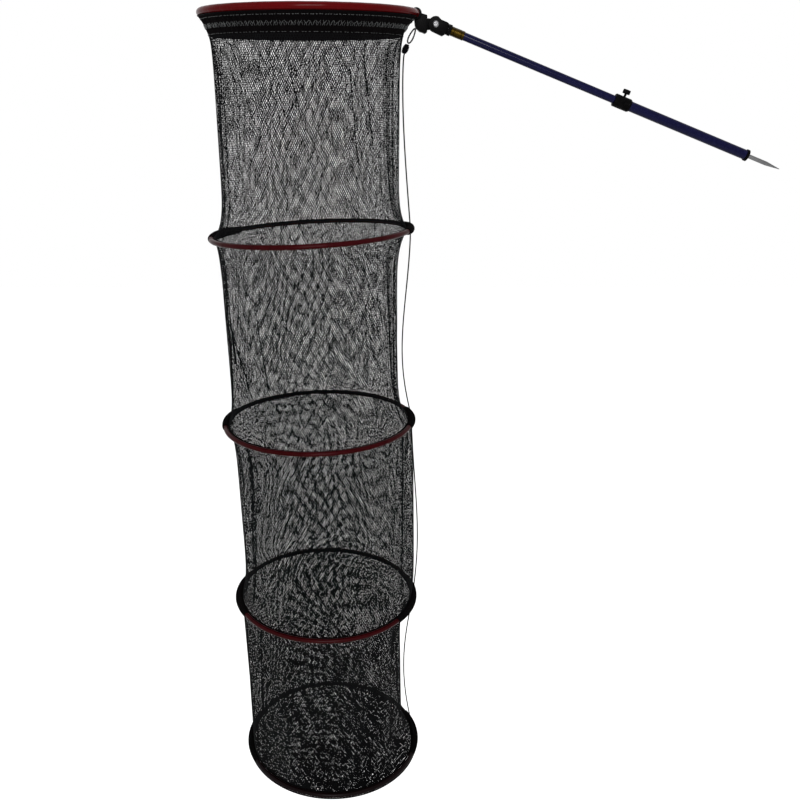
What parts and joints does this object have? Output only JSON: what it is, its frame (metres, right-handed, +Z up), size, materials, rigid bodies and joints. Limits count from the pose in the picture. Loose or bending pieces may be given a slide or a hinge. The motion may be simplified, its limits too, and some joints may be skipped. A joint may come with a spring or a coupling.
{
  "type": "fishing keep net",
  "caption": "Long cylindrical netting bag on sleeved hoops, hung by a tilting head from a telescopic bank stick.",
  "frame": {"origin": "on the stick's axis, at the shoulder of its end plug, where the spike enters the bank", "axes": "+Z up, the net hangs down at -X of the origin, +Y away from the picture's camera"},
  "size_m": [1.1389, 0.4141, 1.6664],
  "materials": {
    "red_sleeve": "glossy dark red sleeve",
    "black_moulding": "satin black moulding",
    "black_sleeve": "satin near-black sleeve",
    "netting": "fine black knotless mesh",
    "cord": "black braided cord",
    "bright_steel": "bright plated steel",
    "brass": "dull turned brass",
    "blue_tube": "glossy dark blue coating"
  },
  "bodies": {
    "hoop": {"top_hoop": "red_sleeve", "hoop_block": "black_moulding", "hoop_pin_front": "bright_steel", "hoop_pin_back": "bright_steel", "collar_band": "netting", "net_section_1": "netting", "cord_knot": "cord", "cord_loop": "cord", "side_cord_1": "cord"},
    "tilt_head": {"tilt_fork": "black_moulding", "pivot_screw": "bright_steel", "washer_front": "bright_steel", "washer_back": "bright_steel", "pivot_nut": "bright_steel", "thread_stud": "bright_steel", "lock_nut": "black_moulding"},
    "upper_stick": {"brass_ferrule": "brass", "upper_tube": "blue_tube", "guide_bush": "black_moulding"},
    "lower_stick": {"stick_clamp": "black_moulding", "lower_tube": "blue_tube", "end_plug": "black_moulding", "bank_spike": "bright_steel"},
    "thumb_screw": {"thumb_screw": "black_moulding"},
    "ring_2": {"ring_2": "red_sleeve", "ring_2_plug": "black_moulding", "net_section_2": "netting", "side_cord_2": "cord"},
    "ring_3": {"ring_3": "red_sleeve", "ring_3_plug": "black_moulding", "net_section_3": "netting", "side_cord_3": "cord"},
    "ring_4": {"ring_4": "red_sleeve", "ring_4_plug": "black_moulding", "net_section_4": "netting", "side_cord_4": "cord"},
    "base_ring": {"base_ring": "black_sleeve", "base_ring_plug": "black_moulding", "base_net": "netting"}
  },
  "joints": [
    {"name": "head_tilt", "type": "hinge", "parent": "hoop", "child": "tilt_head", "pos_m": [-0.62083, -0.00998, 0.23811], "axis": [0, -0.9991, -0.0419], "range_deg": [-50, 60]},
    {"name": "stick_screw", "type": "hinge", "parent": "tilt_head", "child": "upper_stick", "pos_m": [-0.62083, -0.00998, 0.23811], "axis": [0.9336, 0.015, -0.3581], "range_deg": [0, 360]},
    {"name": "stick_extend", "type": "slide", "parent": "upper_stick", "child": "lower_stick", "axis": [0.9336, 0.015, -0.3581], "range_m": [-0.165, 0]},
    {"name": "thumb_screw_turn", "type": "hinge", "parent": "lower_stick", "child": "thumb_screw", "pos_m": [-0.25767, -0.00414, 0.09882], "axis": [0.3584, -0.0391, 0.9328], "range_deg": [0, 360]},
    {"name": "section_1_fold", "type": "slide", "parent": "hoop", "child": "ring_2", "axis": [0, 0, 1], "range_m": [0, 0.311], "deforming": ["net_section_1", "side_cord_1"]},
    {"name": "section_2_fold", "type": "slide", "parent": "ring_2", "child": "ring_3", "axis": [0, 0, 1], "range_m": [0, 0.366], "deforming": ["net_section_2", "side_cord_2"]},
    {"name": "section_3_fold", "type": "slide", "parent": "ring_3", "child": "ring_4", "axis": [0, 0, 1], "range_m": [0, 0.388], "deforming": ["net_section_3", "side_cord_3"]},
    {"name": "section_4_fold", "type": "slide", "parent": "ring_4", "child": "base_ring", "axis": [0, 0, 1], "range_m": [0, 0.368], "deforming": ["net_section_4", "side_cord_4"]}
  ]
}
